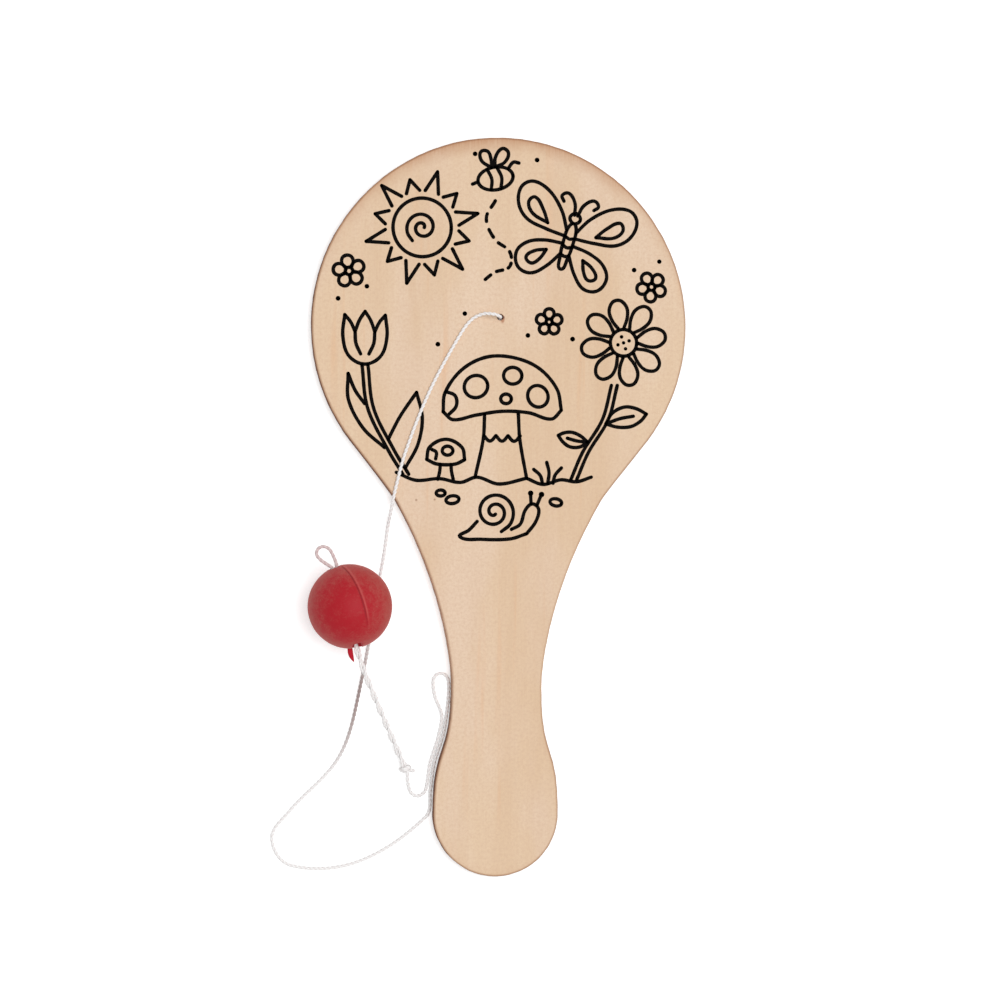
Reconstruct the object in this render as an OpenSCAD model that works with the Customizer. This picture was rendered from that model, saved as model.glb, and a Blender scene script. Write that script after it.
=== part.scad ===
// Paddle ball game: a plywood paddle with a rubber ball on a length of elastic.
// It lies on its back face. The origin is the blade circle's centre on that face,
// +Y runs from the handle to the blade and +Z out of the front face.

/* [Paddle] */
// Overall length, from the blade's top to the grip's end
paddle_len = 248; // [240:1:256]
// Diameter of the round blade
blade_d = 126.5; // [120:0.5:132]
// How far the blade's straight flanks lean inwards, in degrees
flank_lean = 38; // [35:1:41]
// From the blade's centre down to the corner where each flank ends
shoulder_drop = 57; // [54:0.5:60]
// Lean of the neck's curve where it leaves that corner, in degrees
neck_lean = 31; // [27:1:35]
// From the blade's centre down to the handle's narrowest place
waist_drop = 120.5; // [114:0.5:126]
// Width of the handle at its narrowest place
waist_w = 30.2; // [26:0.2:34]
// Diameter of the round grip end
grip_d = 42; // [38:0.5:46]

/* [Plywood] */
// Thickness of the front ply and of the back ply
face_ply_t = 1.3; // [1:0.1:1.6]
// Thickness of the core ply
core_ply_t = 2.4; // [2.2:0.1:3]

/* [Cord hole] */
// Diameter of the hole that the elastic comes out of
hole_d = 2; // [1.6:0.1:2.6]
// How far the hole lies above the blade's centre
hole_rise = 3; // [3:0.1:4]
// Diameter of the recess in the back that hides the knot
recess_d = 5; // [4.9:0.1:5.6]
// Depth of that recess
recess_depth = 3; // [2.8:0.1:3.4]

/* [Elastic] */
// Diameter of the elastic at rest
cord_d = 1.2; // [1:0.05:1.35]
// Diameter of a knot pulled tight
knot_d = 4.2; // [3.8:0.1:4.4]
// How many turns show in a knot
knot_turns = 2; // [2:1:3]

/* [Ball] */
// Diameter of the ball
ball_d = 28; // [26:0.5:30]
// Where the ball lies across the paddle's length
ball_x = -50.5; // [-55:0.5:-50]
// Where the ball lies along the paddle's length
ball_y = -94; // [-97:0.5:-92]
// Turn of the bore from the paddle's length, in degrees
bore_turn = 16; // [10:1:22]
// How far the bore runs to the left of the ball's middle
bore_aside = 1.5; // [0:0.25:2]
// Diameter of the bore that the doubled elastic runs in
bore_d = 3; // [2.9:0.1:3.4]
// Diameter of the pocket that holds the stop knot
pocket_d = 5; // [4.8:0.1:5.6]
// Depth of that pocket
pocket_depth = 4.6; // [4.4:0.1:5.4]
// Diameter of the flared mouth that the elastic leaves by
mouth_d = 4.4; // [4:0.1:5]
// Depth of the flared mouth
mouth_depth = 1.6; // [1:0.1:2.4]
// Width of the raised moulding seam
seam_w = 0.9; // [0.6:0.1:1.4]
// How far the seam stands out of the ball
seam_proud = 0.15; // [0.1:0.05:0.3]
// Lean of the seam from upright, to the right seen from above, in degrees
seam_lean = 16; // [10:1:25]

/* [Rubber sliver] */
// Length of the loose sliver of rubber at the flared mouth
sliver_len = 5; // [3:0.5:7]
// Width of the sliver
sliver_w = 1.7; // [1.4:0.1:1.8]
// Thickness of the sliver
sliver_t = 0.8; // [0.6:0.1:1.2]

/* [Hidden] */

// Facets of true circles, steps of the outline's curves, and degrees in a step of its arcs
round_facets = 96;
curve_steps = 14;
arc_step = 4;
// Overrun of every cut
over = 0.5;

wood_tone = [0.89, 0.77, 0.63];
core_tone = [0.74, 0.58, 0.41];
elastic_tone = [0.93, 0.92, 0.9];
rubber_tone = [0.66, 0.22, 0.24];

// Heights of the plies
core_z = face_ply_t;
front_z = core_z + core_ply_t;
face_z = front_z + face_ply_t;

// The paddle's outline
blade_r = blade_d / 2;
grip_r = grip_d / 2;
grip_drop = paddle_len - blade_r - grip_r;
flank_top = blade_r * [cos(flank_lean), -sin(flank_lean)];
flank_end = [flank_top.x - (shoulder_drop + flank_top.y) * tan(flank_lean), -shoulder_drop];
waist = [waist_w / 2, -waist_drop];
grip_side = [grip_r, -grip_drop];
neck_len = waist_drop - shoulder_drop;
grip_rise = grip_drop - waist_drop;
// Handle lengths of the two curves, as shares of the stretch that each one spans
neck_top_share = 0.52;
neck_foot_share = 0.13;
waist_share = 0.59;
grip_share = 0.56;

// Strands that are pulled together lie this share of their width apart
packed_share = 0.9;
strand_gap = packed_share * cord_d;
// The round that the doubled elastic fills
doubled_d = cord_d + strand_gap;

// The knots, and the gap between the stop knot and the floor of its pocket
knot_len = cord_d + (knot_turns - 1) * strand_gap;
knot_core_d = knot_d - cord_d;
seat_gap = 0.3;

// The ball's centre, the bore's direction towards the stop knot, and its middle
ball_r = ball_d / 2;
ball_at = [ball_x, ball_y, ball_r];
bore_way = [-sin(bore_turn), cos(bore_turn), 0];
bore_at = ball_at - bore_aside * [cos(bore_turn), sin(bore_turn), 0];
pocket_floor = ball_r - pocket_depth;
stop_knot_z = pocket_floor + seat_gap;
stop_knot_top = stop_knot_z + knot_len;
// The two strands come this far out of the flared mouth
strand_reach = 0.5;
strand_end = ball_r + strand_reach;

// The seam stops short of both mouths by this much, and goes this deep into the ball
seam_stop = 0.5;
seam_root = 0.5;

// The sliver's gap to the bore, its place beside it, and how deep it starts in the ball
sliver_gap = 0.1;
sliver_x = -(bore_d / 2 + sliver_gap + sliver_w / 2);
sliver_root = 2.5;

// The knot between the single and the doubled elastic, lying on the table
leash_knot_at = [-30.4, -148.6, 2.2];
leash_knot_turn = 23.5;
leash_knot_way = [-sin(leash_knot_turn), cos(leash_knot_turn), 0];
knot_lead = 1;

tube_sides = 8;
// Any direction that no route starts in
side_way = [0.3, 1, 0.7];
// The single elastic, from the hole over the blade's flank to the table, under the ball's
// side, round a loose bight below the handle, up and down beside the grip and to the knot
cord_route = [
    [0, 3, 5], [0, 3, 5.6], [-0.6, 3.2, 7.3], [-2.6, 3.8, 8.3], [-5.9, 3.9, 7.1],
    [-9.6, 2.1, 5.7], [-13.6, -3.2, 5.7], [-23.6, -22, 5.7], [-31.6, -42.6, 5.7],
    [-35, -55.6, 5.7], [-36.2, -62.6, 4], [-36.9, -68, 1.1], [-38.1, -77.5, 0.7],
    [-45.6, -121, 0.7], [-52.4, -144.6, 0.7], [-69, -163, 0.7], [-74.8, -172, 0.7],
    [-68.6, -181, 0.7], [-46, -180, 0.7], [-23.2, -165, 0.7], [-21.7, -156, 0.7],
    [-20.5, -147, 0.7], [-17.5, -137, 0.7], [-16, -126, 0.7], [-15.9, -119.6, 0.7],
    [-16.7, -117.6, 0.7], [-18.5, -116.8, 0.7], [-20.3, -117.6, 0.7], [-21.1, -119.6, 0.7],
    [-20.4, -124.6, 0.7], [-18.1, -131, 0.7], [-19.3, -138.6, 0.7], [-21.9, -147, 0.7],
    [-22.9, -154, 0.7], [-23.8, -156.8, 0.7], [-26.1, -158, 0.7], [-28.3, -156.8, 0.9],
    [-29.4, -153.2, 1.8]
];
// The doubled elastic, rising from the knot to the ball
leash_route = [
    [-33.2, -142.4, 3.1], [-35.7, -137.2, 5.1], [-38.6, -131, 7.8], [-41.4, -125, 10.3],
    [-44.1, -119, 12.4], [-46.1, -114.2, 13.6]
];
// The loop past the stop knot, in the bore's own frame: across, down and out of the ball
loop_route = [
    [-0.6, 0, 0], [-0.6, 0, 0.6], [-0.9, 0, 2], [-2.3, 0.1, 3.7], [-3.8, 0.2, 5.6],
    [-4.5, 0.2, 7.5], [-3.7, 0, 9.1], [-1.8, -0.2, 9.5], [-0.1, -0.3, 8.2], [0.6, -0.2, 5.8],
    [0.9, -0.1, 3], [0.6, 0, 0.6], [0.6, 0, 0]
];

// A point of the curve from a to d with the handles b and c
function curve_at(a, b, c, d, t) =
    pow(1 - t, 3) * a + 3 * pow(1 - t, 2) * t * b + 3 * (1 - t) * t * t * c + pow(t, 3) * d;

// The curve's points, without its last
function curve(a, b, c, d) =
    [for (i = [0 : curve_steps - 1]) curve_at(a, b, c, d, i / curve_steps)];

// Points of an arc round a centre at [0, y], from one angle to another, with both ends
function arc(y, r, from, to) =
    let (steps = round(abs(to - from) / arc_step))
    [
        for (i = [0 : steps])
            let (turn = from + (to - from) * i / steps)
            [r * cos(turn), y + r * sin(turn)]
    ];

// The paddle's right side: blade, flank, neck and grip
right_side = concat(
    arc(0, blade_r, 90, -flank_lean),
    curve(
        flank_end,
        flank_end - neck_top_share * neck_len * [sin(neck_lean), cos(neck_lean)],
        waist + [0, neck_foot_share * neck_len],
        waist
    ),
    curve(
        waist,
        waist - [0, waist_share * grip_rise],
        grip_side + [0, grip_share * grip_rise],
        grip_side
    ),
    arc(-grip_drop, grip_r, 0, -90)
);
left_side = [for (i = [len(right_side) - 2 : -1 : 1]) [-right_side[i].x, right_side[i].y]];

module ply(z, thickness) {
    translate([0, 0, z])
        linear_extrude(height = thickness) polygon(concat(right_side, left_side));
}

// A hole square to the paddle, cut where the elastic passes
module cord_cut(d, z, depth) {
    translate([0, hole_rise, z - over]) cylinder(d = d, h = depth + 2 * over, $fn = round_facets);
}

function unit(v) = v / norm(v);

// Direction of a route at its point i
function heading(route, i) =
    i == 0 ? unit(route[1] - route[0]) :
    i == len(route) - 1 ? unit(route[i] - route[i - 1]) :
    unit(unit(route[i + 1] - route[i]) + unit(route[i] - route[i - 1]));

// A normal for each point of a route, carried along it without a twist
function normals(route, last, i = 0) =
    i == len(route) ? [] :
    let (
        way = heading(route, i),
        normal = unit(last - (last * way) * way)
    )
    concat([normal], normals(route, normal, i + 1));

function ring(centre, way, normal, r) = [
    for (k = [0 : tube_sides - 1])
        let (turn = 360 * k / tube_sides)
        centre + r * (cos(turn) * normal + sin(turn) * cross(way, normal))
];

// A closed tube of diameter d along a route
module tube(route, d) {
    count = len(route);
    normal = normals(route, unit(cross(heading(route, 0), side_way)));
    points = [for (i = [0 : count - 1]) each ring(route[i], heading(route, i), normal[i], d / 2)];
    walls = [
        for (i = [0 : count - 2])
            for (k = [0 : tube_sides - 1])
                let (
                    next = (k + 1) % tube_sides,
                    near = i * tube_sides,
                    far = near + tube_sides
                )
                each [
                    [near + k, far + k, near + next],
                    [near + next, far + k, far + next]
                ]
    ];
    start_cap = [for (k = [0 : tube_sides - 1]) k];
    end_cap = [for (k = [tube_sides - 1 : -1 : 0]) (count - 1) * tube_sides + k];
    polyhedron(points, concat(walls, [start_cap, end_cap]), convexity = 10);
}

// A tight knot along +Z, with flat ends that the elastic meets
module knot() {
    cylinder(d = knot_core_d, h = knot_len, $fn = round_facets);
    for (i = [0 : knot_turns - 1])
        translate([0, 0, cord_d / 2 + i * strand_gap])
            rotate_extrude($fn = round_facets)
                translate([knot_core_d / 2, 0]) circle(d = cord_d, $fn = round_facets);
}

// Puts a piece made along +Z on the bore's line, with z = 0 at the ball's centre
module on_bore() {
    translate(bore_at) rotate([0, 0, bore_turn]) rotate([-90, 0, 0]) children();
}

module front_ply() {
    color(wood_tone) difference() {
        ply(front_z, face_ply_t);
        cord_cut(hole_d, front_z, face_ply_t);
    }
}

// The core: the cord hole above, and the floor of the knot's recess below
module core_ply() {
    color(core_tone) difference() {
        ply(core_z, core_ply_t);
        cord_cut(hole_d, core_z, core_ply_t);
        cord_cut(recess_d, core_z, recess_depth - core_z - over);
    }
}

module back_ply() {
    color(wood_tone) difference() {
        ply(0, face_ply_t);
        cord_cut(recess_d, 0, face_ply_t);
    }
}

// The knot pulled up to the recess's floor, with the elastic's run through the hole
module anchor_knot() {
    color(elastic_tone) translate([0, hole_rise, recess_depth - knot_len]) {
        knot();
        cylinder(d = cord_d, h = face_z - recess_depth + knot_len, $fn = round_facets);
    }
}

module elastic_cord() {
    ending = leash_knot_at - knot_len / 2 * leash_knot_way;
    color(elastic_tone)
        tube(concat(cord_route, [ending - knot_lead * leash_knot_way, ending]), cord_d);
}

module leash_knot() {
    color(elastic_tone)
        translate(leash_knot_at) rotate([0, 0, leash_knot_turn]) rotate([-90, 0, 0])
            translate([0, 0, -knot_len / 2]) knot();
}

// The doubled elastic between the knot and the ball
module elastic_leash() {
    start = leash_knot_at + knot_len / 2 * leash_knot_way;
    ending = bore_at - strand_end * bore_way;
    color(elastic_tone)
        tube(
            concat(
                [start, start + knot_lead * leash_knot_way],
                leash_route,
                [ending - knot_lead * bore_way, ending]
            ),
            doubled_d
        );
}

// The two strands inside the ball
module bore_strands() {
    color(elastic_tone) on_bore()
        for (side = [-1, 1])
            translate([side * strand_gap / 2, 0, -strand_end])
                cylinder(d = cord_d, h = strand_end + stop_knot_z, $fn = round_facets);
}

module stop_knot() {
    color(elastic_tone) on_bore() translate([0, 0, stop_knot_z]) knot();
}

module end_loop() {
    color(elastic_tone) on_bore() translate([0, 0, stop_knot_top]) tube(loop_route, cord_d);
}

// The torn sliver of rubber beside the flared mouth
module sliver() {
    translate([sliver_x, 0, -(ball_r + sliver_len - sliver_w / 2)])
        rotate([90, 0, 0])
            linear_extrude(height = sliver_t, center = true) {
                circle(d = sliver_w, $fn = round_facets);
                translate([-sliver_w / 2, 0]) square([sliver_w, sliver_len + sliver_root]);
            }
}

// Half a section of what is cut from the ball: its bore, the knot's pocket and the flared mouth
module bore_section() {
    translate([0, -ball_r]) square([bore_d / 2, 2 * ball_r]);
    translate([0, pocket_floor]) square([pocket_d / 2, ball_r]);
    polygon([
        [0, -ball_d], [mouth_d / 2, -ball_d], [mouth_d / 2, -ball_r],
        [bore_d / 2, mouth_depth - ball_r], [0, mouth_depth - ball_r]
    ]);
}

// One half of the raised seam, from the pocket to the flared mouth
module seam_half() {
    top_turn = 90 - asin((pocket_d / 2 + seam_stop) / ball_r);
    foot_turn = 90 - asin((mouth_d / 2 + seam_stop) / ball_r);
    rotate([90, 0, 0]) rotate([0, 0, -foot_turn])
        rotate_extrude(angle = top_turn + foot_turn, $fn = round_facets)
            translate([ball_r - seam_root, -seam_w / 2])
                square([seam_root + seam_proud, seam_w]);
}

module ball() {
    color(rubber_tone) on_bore() {
        difference() {
            translate([bore_aside, 0, 0]) sphere(d = ball_d, $fn = round_facets);
            rotate_extrude($fn = round_facets) bore_section();
        }
        translate([bore_aside, 0, 0])
            for (side = [0, 180]) rotate([0, 0, side + 90 + seam_lean]) seam_half();
        sliver();
    }
}

front_ply();
core_ply();
back_ply();
anchor_knot();
elastic_cord();
leash_knot();
elastic_leash();
bore_strands();
stop_knot();
end_loop();
ball();
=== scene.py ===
# Paddle ball game: a printed plywood paddle with a red rubber ball on white elastic.
# Lengths are in metres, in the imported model's frame: the paddle lies on its back, +Y runs
# from the handle to the blade's top and +Z out of the printed face.

import math

import bmesh
import bpy
from mathutils import Matrix, Vector, noise
from mathutils.geometry import interpolate_bezier


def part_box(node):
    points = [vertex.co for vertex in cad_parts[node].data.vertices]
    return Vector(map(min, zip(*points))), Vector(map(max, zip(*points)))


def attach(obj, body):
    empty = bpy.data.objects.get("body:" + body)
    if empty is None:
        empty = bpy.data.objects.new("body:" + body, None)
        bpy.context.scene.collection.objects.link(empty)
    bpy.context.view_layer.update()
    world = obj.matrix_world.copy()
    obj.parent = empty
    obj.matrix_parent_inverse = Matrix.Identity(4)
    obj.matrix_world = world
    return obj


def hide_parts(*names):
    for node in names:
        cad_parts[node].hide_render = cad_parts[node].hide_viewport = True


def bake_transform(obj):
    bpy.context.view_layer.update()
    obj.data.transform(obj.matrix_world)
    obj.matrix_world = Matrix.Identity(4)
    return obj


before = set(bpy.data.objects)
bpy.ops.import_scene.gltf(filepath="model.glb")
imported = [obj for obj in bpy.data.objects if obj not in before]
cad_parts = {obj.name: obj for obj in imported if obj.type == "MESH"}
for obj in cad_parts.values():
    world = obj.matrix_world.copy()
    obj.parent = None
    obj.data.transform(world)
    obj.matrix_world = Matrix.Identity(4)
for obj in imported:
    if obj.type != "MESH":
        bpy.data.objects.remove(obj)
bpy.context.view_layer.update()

# The camera looks down from 1.1 m, a little from the paddle's left, so that the left
# side of the plywood shows. Its picture is 336 mm wide at the paddle's height.
mm = 0.001
camera_distance = 1.1
camera_lean = math.radians(7.5)
camera_roll = math.radians(0.5)
camera_aim = Vector((0.8, -58.7, 5)) * mm
picture_width = 336.3 * mm


def new_object(name, data):
    """An object in the scene for its data."""
    made = bpy.data.objects.new(name, data)
    bpy.context.collection.objects.link(made)
    return made


camera_data = bpy.data.cameras.new("camera")
camera_data.lens = camera_data.sensor_width * camera_distance / picture_width
camera = new_object("camera", camera_data)
camera_turn = Matrix.Rotation(-camera_lean, 4, "Y") @ Matrix.Rotation(camera_roll, 4, "Z")
back_off = Matrix.Translation((0, 0, camera_distance))
camera.matrix_world = Matrix.Translation(camera_aim) @ camera_turn @ back_off
bpy.context.scene.camera = camera

# The elastic is a rubber thread wound with white yarn, so that it looks like a fine rope
# of two plies. It is tied behind the blade, comes out of the hole in the printed face
# and lies limp over the blade's flank and on the table.
elastic_width = 1.2 * mm
elastic_packing = 0.9
bead_length = 1.6 * mm
bead_depth = 0.3
winding_length = 11 * mm
elastic_step = 0.2 * mm
elastic_sides = 16
cut_end_angle = 1.0
# The single elastic's yarn is darker between these lengths along it.
darker_stretch_start = (118 * mm, 146 * mm)
darker_stretch_end = (150 * mm, 178 * mm)
fibre_length = 0.8 * mm
fibres_around = 8.0

face_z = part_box("front_ply")[1].z
hole_at = Vector((0, 3, 0)) * mm
strand_gap = elastic_packing * elastic_width
knot_length = elastic_width + strand_gap
leash_knot_at = Vector((-30.4, -148.6, 2.2)) * mm
leash_knot_turn = math.radians(23.5)
leash_knot_way = Vector((-math.sin(leash_knot_turn), math.cos(leash_knot_turn), 0))
knot_lead = 1 * mm

cord_route = [
    (0, 3, 5), (0, 3, 5.6), (-0.6, 3.2, 7.3), (-2.6, 3.8, 8.3), (-5.9, 3.9, 7.1),
    (-9.6, 2.1, 5.7), (-13.6, -3.2, 5.7), (-23.6, -22, 5.7), (-31.6, -42.6, 5.7),
    (-35, -55.6, 5.7), (-36.2, -62.6, 4), (-36.9, -68, 1.1), (-38.1, -77.5, 0.7),
    (-45.6, -121, 0.7), (-52.4, -144.6, 0.7), (-69, -163, 0.7), (-74.8, -172, 0.7),
    (-68.6, -181, 0.7), (-46, -180, 0.7), (-23.2, -165, 0.7), (-21.7, -156, 0.7),
    (-20.5, -147, 0.7), (-17.5, -137, 0.7), (-16, -126, 0.7), (-15.9, -119.6, 0.7),
    (-16.7, -117.6, 0.7), (-18.5, -116.8, 0.7), (-20.3, -117.6, 0.7), (-21.1, -119.6, 0.7),
    (-20.4, -124.6, 0.7), (-18.1, -131, 0.7), (-19.3, -138.6, 0.7), (-21.9, -147, 0.7),
    (-22.9, -154, 0.7), (-23.8, -156.8, 0.7), (-26.1, -158, 0.7), (-28.3, -156.8, 0.9),
    (-29.4, -153.2, 1.8),
]


def smooth_route(points, steps=12):
    """Points close together on a smooth curve through the given ones."""
    last = len(points) - 1
    ways = [
        (points[min(i + 1, last)] - points[max(i - 1, 0)]).normalized() for i in range(last + 1)
    ]
    line = []
    for i in range(last):
        reach = (points[i + 1] - points[i]).length / 3
        near, far = points[i] + reach * ways[i], points[i + 1] - reach * ways[i + 1]
        line += interpolate_bezier(points[i], near, far, points[i + 1], steps + 1)[:-1]
    return line + [points[-1]]


class Wire:
    """What comes out of a node. Sums written with it add Math nodes to the node's tree."""

    def __init__(self, socket):
        self.socket = socket

    def __getitem__(self, name):
        return Wire(self.socket.node.outputs[name])

    def into(self, kind, values=None, **settings):
        """Adds a node that takes the wire in first."""
        return add(self.socket.id_data, kind, {0: self, **(values or {})}, **settings)

    def __add__(self, other):
        return work_out("ADD", self, other)

    def __sub__(self, other):
        return work_out("SUBTRACT", self, other)

    def __mul__(self, other):
        return work_out("MULTIPLY", self, other)

    def __truediv__(self, other):
        return work_out("DIVIDE", self, other)


def feed(node, values):
    """Gives a node's inputs, by name or number, their values or wires."""
    for key, value in values.items():
        if isinstance(value, Wire):
            node.id_data.links.new(value.socket, node.inputs[key])
        else:
            node.inputs[key].default_value = value


def add(tree, kind, values=None, **settings):
    """Adds a node with its settings and inputs. The wire is its first output in use."""
    node = tree.nodes.new(kind)
    for name, setting in settings.items():
        setattr(node, name, setting)
    feed(node, values or {})
    return Wire(next((socket for socket in node.outputs if socket.enabled), None))


def work_out(operation, *values):
    """The result of a Math node, with a wire among its values."""
    tree = next(value.socket.id_data for value in values if isinstance(value, Wire))
    return add(tree, "ShaderNodeMath", dict(enumerate(values)), operation=operation)


def work_out_vector(operation, wire, *values):
    """The result of a Vector Math node. A scale is given as the last value."""
    first = "Scale" if operation == "SCALE" else 1
    return wire.into("ShaderNodeVectorMath", dict(zip((first, 2), values)), operation=operation)


def new_tree(name, inputs):
    """A Geometry Nodes tree with named inputs, each of the kind of its value."""
    tree = bpy.data.node_groups.new(name, "GeometryNodeTree")
    tree.interface.new_socket("Source", in_out="INPUT", socket_type="NodeSocketGeometry")
    kinds = {float: "Float", int: "Int", type(None): "Material"}
    for label, value in inputs.items():
        kind = "NodeSocket" + kinds[type(value)]
        made = tree.interface.new_socket(label, in_out="INPUT", socket_type=kind)
        if value is not None:
            made.default_value = value
    tree.interface.new_socket(name, in_out="OUTPUT", socket_type="NodeSocketGeometry")
    return tree


def put_out(shape, material):
    """Ends a Geometry Nodes tree with its shape in its material."""
    shape.into("GeometryNodeSetMaterial", {"Material": material}).into("NodeGroupOutput")


def grow(name, source, tree, values):
    """Runs a tree on a source object, and keeps the result as a plain mesh object."""
    modifier = source.modifiers.new(tree.name, "NODES")
    modifier.node_group = tree
    for item in tree.interface.items_tree:
        if item.in_out == "INPUT" and item.name in values:
            modifier[item.identifier] = values[item.name]
    evaluated = source.evaluated_get(bpy.context.evaluated_depsgraph_get())
    mesh = bpy.data.meshes.new_from_object(evaluated)
    source.modifiers.remove(modifier)
    bpy.data.objects.remove(source)
    mesh.name = name
    return new_object(name, mesh)


def line_object(strokes):
    """A curve object with a spline for each stroke: its route, its width, and if it closes."""
    data = bpy.data.curves.new("routes", "CURVE")
    data.dimensions = "3D"
    for route, width, closed in strokes:
        spline = data.splines.new("POLY")
        spline.points.add(len(route) - 1)
        spline.points.foreach_set("co", [x for p in route for x in (*p, 1)])
        spline.points.foreach_set("radius", [width] * len(route))
        spline.use_cyclic_u = closed
    return new_object("routes", data)


def wound_elastic_tree():
    """Elastic along a route: strands wound round each other, each one a two-ply rope."""
    tree = new_tree(
        "Wound elastic",
        {
            "Strand Width": elastic_width, "Strands": 1, "Strands Apart": 0.0,
            "Winding Length": winding_length, "Bead Length": bead_length,
            "Bead Depth": bead_depth, "Step": elastic_step, "From": 0.0, "To": 1.0,
            "Material": None,
        },
    )
    given = add(tree, "NodeGroupInput")
    steps = {"Length": given["Step"]}
    line = given["Source"].into("GeometryNodeResampleCurve", steps, mode="LENGTH")
    kept = line.into("GeometryNodeCaptureAttribute")
    for kind, label, value in (
        ("FLOAT", "Length", add(tree, "GeometryNodeSplineParameter")["Length"]),
        ("VECTOR", "Normal", add(tree, "GeometryNodeInputNormal")),
        ("VECTOR", "Tangent", add(tree, "GeometryNodeInputTangent")),
    ):
        kept.socket.node.capture_items.new(kind, label)
        feed(kept.socket.node, {label: value})
    ends = {4: given["From"], 5: given["To"]}
    stretch = kept.into("GeometryNodeTrimCurve", ends, mode="LENGTH")
    count = {"Amount": given["Strands"]}
    strands = stretch.into("GeometryNodeDuplicateElements", count, domain="SPLINE")
    far = kept["Length"]
    share = strands["Duplicate Index"] / given["Strands"]
    phase = (share + far / given["Winding Length"]) * (2 * math.pi)
    across = work_out_vector("SCALE", kept["Normal"], work_out("COSINE", phase))
    sideways = work_out_vector("CROSS_PRODUCT", kept["Tangent"], kept["Normal"])
    beside = work_out_vector("SCALE", sideways, work_out("SINE", phase))
    way_out = work_out_vector("ADD", across, beside)
    offset = work_out_vector("SCALE", way_out, given["Strands Apart"] / 2.0)
    moved = strands.into("GeometryNodeSetPosition", {"Offset": offset})
    twist = far / given["Bead Length"] * math.pi
    tilted = moved.into("GeometryNodeSetCurveTilt", {"Tilt": twist + share})
    along = {"Name": "strand_along", "Value": far}
    measured = tilted.into("GeometryNodeStoreNamedAttribute", along)

    half_width = given["Strand Width"] / 2.0
    size = {"Resolution": elastic_sides, "Radius": half_width}
    circle = add(tree, "GeometryNodeCurvePrimitiveCircle", size)
    place = add(tree, "GeometryNodeInputPosition")
    unit_place = work_out_vector("SCALE", place, work_out("DIVIDE", 1.0, half_width))
    around = {"Name": "strand_around", "Value": unit_place}
    section = circle.into("GeometryNodeStoreNamedAttribute", around, data_type="FLOAT_VECTOR")
    rise = unit_place.into("ShaderNodeSeparateXYZ")["Y"]
    pinch = work_out_vector("SCALE", place, rise * rise * given["Bead Depth"] * -1.0)
    waisted = section.into("GeometryNodeSetPosition", {"Offset": pinch})
    solid = {"Profile Curve": waisted, "Fill Caps": True}
    smooth = measured.into("GeometryNodeCurveToMesh", solid).into("GeometryNodeSetShadeSmooth")
    edge_angle = add(tree, "GeometryNodeInputMeshEdgeAngle")["Unsigned Angle"]
    cut_ends = work_out("GREATER_THAN", edge_angle, cut_end_angle)
    sharp = {"Selection": cut_ends, "Shade Smooth": False}
    crisp = smooth.into("GeometryNodeSetShadeSmooth", sharp, domain="EDGE")
    put_out(crisp.into("GeometryNodeRealizeInstances"), given["Material"])
    return tree


def paint(red, green, blue):
    """A colour as it looks, from 0 to 255, as the linear value that a shader takes."""
    shares = [part / 255 for part in (red, green, blue)]
    linear = [x / 12.92 if x <= 0.04045 else ((x + 0.055) / 1.055) ** 2.4 for x in shares]
    return (*linear, 1)


def new_material(name, roughness, specular, settings=None):
    """A material, its tree and its shader, with what is the same all over it set."""
    material = bpy.data.materials.new(name)
    material.use_nodes = True
    shader = material.node_tree.nodes["Principled BSDF"]
    feed(shader, {"Roughness": roughness, "Specular IOR Level": specular, **(settings or {})})
    return material, material.node_tree, shader


def mixed(share, first, second):
    """The colour between two colours."""
    return share.into("ShaderNodeMix", {6: first, 7: second}, data_type="RGBA")


def fade(value, low, high, start=0.0, end=1.0):
    """A smooth change from start to end while a value goes from low to high."""
    inputs = {"From Min": low, "From Max": high, "To Min": start, "To Max": end}
    return value.into("ShaderNodeMapRange", inputs, interpolation_type="SMOOTHSTEP")


def place_on(tree):
    """A spot's place on the object."""
    return add(tree, "ShaderNodeTexCoord")["Object"]


def kept_value(tree, name):
    """What the mesh keeps at its points under a name."""
    return add(tree, "ShaderNodeAttribute", attribute_name=name)["Fac"]


def blotches(place, scale, detail=2.0, roughness=0.5, stretch=None):
    """Soft random blotches, from 0 to 1. A stretch draws them out into streaks."""
    if stretch:
        place = work_out_vector("MULTIPLY", place, stretch)
    inputs = {"Scale": scale, "Detail": detail, "Roughness": roughness}
    return place.into("ShaderNodeTexNoise", inputs)


def bump(height, strength, distance):
    """The normals of a fine relief."""
    inputs = {"Height": height, "Strength": strength, "Distance": distance}
    return add(height.socket.id_data, "ShaderNodeBump", inputs)


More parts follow.
